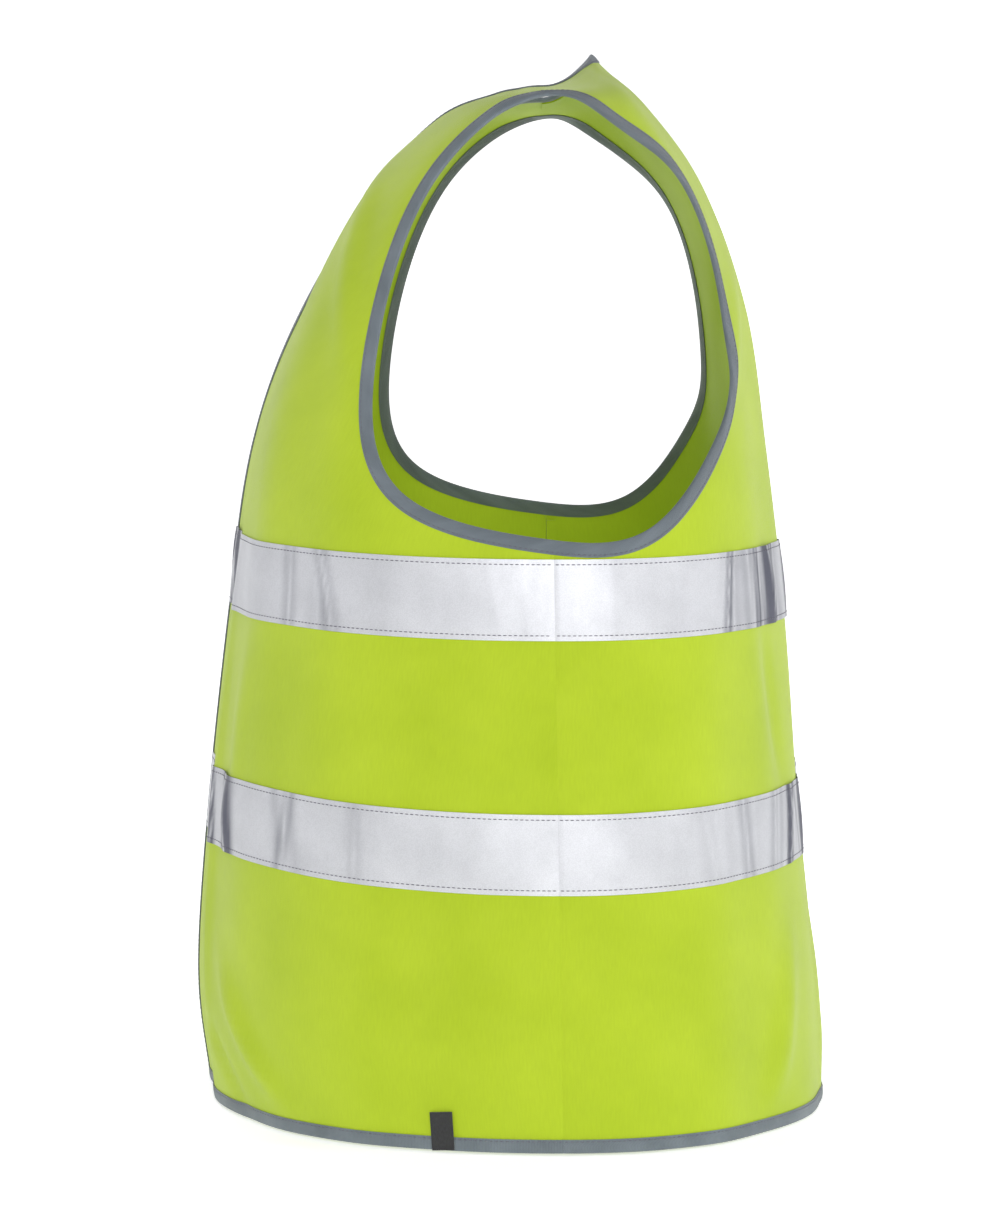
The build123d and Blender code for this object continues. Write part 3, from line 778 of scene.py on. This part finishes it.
def tape_lift(angle, across, seed):
    """How far a tape stands off its cloth: puckers that grow by a sine from its edges to its middle."""
    share = 0.45 + 0.55 * np.sin(np.pi * across / BAND_WIDTH)
    raised = share * np.maximum(puckers(angle, across + 0 * angle, seed), DEEPEST_DIP)
    return SEW_GAP + BAND + TAPE_SLACK + raised


def tape(name, angle, band, seed, panel, place, nodes):
    """Reflective tape over a span of angles, held down along two rows of stitches."""
    height, rise = BANDS[band]
    across = np.linspace(0, BAND_WIDTH, TAPE_ROWS)[:, None]
    turn = np.broadcast_to(angle[None, :], (TAPE_ROWS, len(angle)))
    out = tape_lift(turn, across, seed)
    level = band_levels(turn, height, rise, across)
    piece = sheet_piece(name, turn, level, out, TAPE_FINISH, BAND)
    # painted shade along the puckers' flanks and towards the front and back, kept on the tape's points for
    # its material
    tone = painted_tape_shade(turn, across + 0 * turn, seed)
    if not np.allclose(piece_points(piece)[0], on_cloth(turn[0, 0], level[0, 0], out[0, 0]), atol=1e-5):
        tone = tone[:, ::-1]
    painted_shade = piece.data.attributes.new("painted_crease_shade", "FLOAT", "POINT")
    painted_shade.data.foreach_set("value", tone.astype(np.float32).ravel())
    WITH[panel].append(fasten(piece, place, "reflective", *nodes))
    sewn = []
    for line in (TAPE_STITCH, BAND_WIDTH - TAPE_STITCH):
        a, b = even_line(angle, band_levels(angle, height, rise, line), 0.8)
        sewn.append((a, b, tape_lift(a, line, seed) + THREAD_ABOVE_TAPE))
    return sewn


def span(low, high, pitch=1.1):
    """Angles from low to high, close enough together for a tape's puckers."""
    return np.linspace(low, high, int((high - low) / pitch * 1.6))


for row, (band, (height, rise)) in enumerate(BANDS.items()):
    nodes = (f"back_{band}_band",)
    THREADS["back"] += tape(f"back_{band}_tape", span(0, 180), band, row, "back", "shell", nodes)
    level = level_at(np.array((-88.0,)), height + BAND_WIDTH / 2)
    for hand, side in SIDES.items():
        inset = BINDING_WIDTH + 0.2 if side == LEFT else OVERLAP / 2 + CLOSURE_EDGE
        first = angle_at(level, lambda z: front_edge_x(z, inset))[0]
        angle = span(first, 0) if side == LEFT else mirrored(span(first, 0), side)[::-1]
        nodes = (f"{hand}_side_{band}_band", f"{hand}_flap_{band}_band")
        seed = 10 * row + 4 + side
        THREADS[hand] += tape(f"{hand}_front_{band}_tape", angle, band, seed, hand, hand, nodes)


# ---------------------------------------------------------------- hook and loop, seams, labels


def place(wanted, axis, start):
    """Angles and levels where the surface has the wanted x or y (axis 0 or 1) and height."""
    angle = np.full(wanted.shape[:-1], float(start))
    level = np.interp(wanted[..., 1], RINGS[:, 0], np.linspace(0, 1, len(RINGS)))
    for _ in range(12):
        here = surface(angle, level)
        by_angle = (surface(angle + 0.01, level) - here) / 0.01
        by_level = (surface(angle, level + 1e-4) - here) / 1e-4
        da, dz = wanted[..., 0] - here[..., axis], wanted[..., 1] - here[..., 2]
        det = by_angle[..., axis] * by_level[..., 2] - by_angle[..., 2] * by_level[..., axis]
        angle = angle + np.clip((da * by_level[..., 2] - dz * by_level[..., axis]) / det, -6, 6)
        level = level + np.clip((by_angle[..., axis] * dz - by_angle[..., 2] * da) / det, -0.05, 0.05)
    return angle, level


def patch(name, middle, size, axis, start, out, material, thickness, tilt=0.0, cells=(10, 12)):
    """Rectangle of tape or label laid on the surface, as seen along the other level axis."""
    u, v = np.meshgrid(np.linspace(-0.5, 0.5, cells[0]) * size[0], np.linspace(-0.5, 0.5, cells[1]) * size[1])
    c, s = math.cos(math.radians(tilt)), math.sin(math.radians(tilt))
    wanted = np.stack((middle[0] + u * c - v * s, middle[1] + u * s + v * c), axis=-1)
    angle, level = place(wanted, axis, start)
    return sheet_piece(name, angle, level, out, material, thickness)


closure = (2 * CLOSURE_HALF, CLOSURE_TOP - CLOSURE_BOTTOM)
closure_middle = (0, (CLOSURE_TOP + CLOSURE_BOTTOM) / 2)
LINING = CLOTH + SEW_GAP
hook = patch("hook_strip", closure_middle, closure, 0, -90, -LINING, HOOK_FINISH, HOOK, cells=(9, 90))
WITH["left"].append(fasten(hook, "left", "hook", "hook_tape"))
loop = patch("loop_strip", closure_middle, closure, 0, 270, SEW_GAP + LOOP, LOOP_FINISH, LOOP, cells=(9, 90))
WITH["right"].append(fasten(loop, "right", "loop", "loop_tape"))

seam_profile = [(inset, -LINING - 0.1 * (inset > 1)) for inset in np.linspace(0.3, ALLOWANCE_WIDTH, 6)]
shoulder_x = surface(0.0, neck_levels)[:, 0]
arm_x = surface(0.0, locate(*ARMHOLE[:1].T)[1])[0, 0]
shoulder_low, shoulder_high = np.interp(
    (-(arm_x - BINDING_WIDTH - 1), -(NECK_HALF + BINDING_WIDTH + 1)), -shoulder_x, neck_levels
)
side_low, side_high = level_at(np.zeros(2), np.array((BINDING_WIDTH + 0.5, 366.0)))
for hand, side in SIDES.items():
    for name, low, high in (("side", side_low, side_high), ("shoulder", shoulder_low, shoulder_high)):
        level = even_levels(80 if name == "side" else 24, low, high)
        line = np.full(len(level), mirrored(0.0, side))
        piece = ribbon(
            f"{hand}_{name}_allowance", line, level, -side, seam_profile, CLOTH_FINISH, ALLOWANCE
        )
        WITH["back"].append(fasten(piece, "shell", "cloth", f"{hand}_{name}_seam"))

flag = patch("flag", (-44, 12.3), (14, 24), 1, -20, LEG + SEW_GAP + LABEL + 0.15, FLAG_FINISH, LABEL, 4)
WITH["back"].append(fasten(flag, "shell", "flag", "flag_label"))
size = patch("size_tag", (0, 660), (26, 32), 0, 90, -LINING - 0.9, LABEL_FINISH, LABEL)
WITH["back"].append(fasten(size, "shell", "label", "size_label"))
care = patch("care_tag", (70, 90), (34, 60), 1, 12, -LINING, LABEL_FINISH, LABEL)
WITH["back"].append(fasten(care, "shell", "label", "care_label"))

for name, rows in THREADS.items():
    panel, body = (name, name) if name in SIDES else ("back", "shell")
    WITH[panel].append(fasten(stitch_piece(f"{name}_stitches", rows, THREAD_FINISH), body, "binding"))


# ---------------------------------------------------------------- floor, light and camera


FLAT_REACH, FLOOR_REACH, RIM_HEIGHT = 4.0, 8.0, 4.0  # metres
FLOOR_DROP = 0.0015  # keeps the floor clear of the hem


def studio_floor():
    """Pale floor that rises into a backdrop: a round sweep, flat to FLAT_REACH, with a parabola for a rim."""
    turn, out = np.meshgrid(np.radians(np.linspace(0, 360, 73)), np.linspace(0, 1, 40))
    reach = FLOOR_REACH * out
    rise = RIM_HEIGHT * np.clip((reach - FLAT_REACH) / (FLOOR_REACH - FLAT_REACH), 0, 1) ** 2
    points = np.stack((reach * np.cos(turn), reach * np.sin(turn), rise - FLOOR_DROP), axis=-1)
    faces = grid_faces(*turn.shape)[:, ::-1]
    made = Finish("pale_floor", 0.9)
    made.shader.inputs["Emission Color"].default_value = (1, 1, 1, 1)
    place_on_floor = made.node("ShaderNodeTexCoord").outputs["Object"]
    x_y = made.node("ShaderNodeSeparateXYZ", place_on_floor).outputs
    aside = made.node("ShaderNodeMath", operation="ABSOLUTE")
    made.links.new(x_y["Y"], aside.inputs[0])
    glow = made.node("ShaderNodeMath", operation="MULTIPLY")
    for socket, source, dark, bright in ((0, x_y["X"], 0.7, -0.9), (1, aside.outputs[0], 3.2, 1.3)):
        fade = made.node("ShaderNodeMapRange", interpolation_type="SMOOTHSTEP")
        for key, value in (("From Min", dark), ("From Max", bright), ("To Min", 0.48), ("To Max", 0.9)):
            fade.inputs[key].default_value = value
        made.links.new(source, fade.inputs["Value"])
        made.links.new(fade.outputs["Result"], glow.inputs[socket])
    made.links.new(glow.outputs[0], made.shader.inputs["Emission Strength"])
    made.paint(made.ramp(made.noise(0.5), grey(0.92), grey(0.94)))
    uv = lengths(points).reshape(-1, 2)[faces]
    floor = make_piece("floor", points, faces, uv, made.material, 0)
    floor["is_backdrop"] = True
    return floor


def soft_light(name, location, target, size, power):
    """Square soft box that faces a target."""
    lamp = bpy.data.lights.new(name, "AREA")
    lamp.shape, lamp.size, lamp.energy = "SQUARE", size, power
    light = bpy.data.objects.new(name, lamp)
    light.location = location
    away = Vector(location) - Vector(target)
    light.rotation_euler = away.to_track_quat("Z", "Y").to_euler()
    bpy.context.scene.collection.objects.link(light)


studio_floor()
CHEST = (0, 0, 0.4)
LIGHTS = (  # name, location and width in metres, and power in watts
    ("key_light", (3.3, 0.5, 1.3), 1.6, 49),
    ("front_light", (0.5, -3.0, 1.5), 0.6, 14),
    ("back_light", (0.8, 3.0, 1.6), 0.7, 27),
    ("far_light", (-3.0, -1.6, 1.8), 1.0, 26),
    ("top_light", (-0.4, 0.1, 3.2), 2.0, 10),
)
for light_name, location, width, watts in LIGHTS:
    soft_light(light_name, location, CHEST, width, watts)

world = bpy.data.worlds.new("studio")
world.use_nodes = True
sky = world.node_tree.nodes["Background"].inputs
sky["Color"].default_value = (0.95, 0.97, 1.0, 1)
sky["Strength"].default_value = 0.13
bpy.context.scene.world = world
bpy.context.scene.view_settings.view_transform = "Standard"

CAMERA_PLACE, CAMERA_PITCH, CAMERA_LENS = (2.75, -0.0083, 0.535), -4.51, 121.6
lens = bpy.data.cameras.new("camera")
lens.lens = CAMERA_LENS
camera = bpy.data.objects.new("camera", lens)
camera.location = CAMERA_PLACE
camera.rotation_euler = (math.radians(90 + CAMERA_PITCH), 0, math.radians(90))
bpy.context.scene.collection.objects.link(camera)
bpy.context.scene.camera = camera
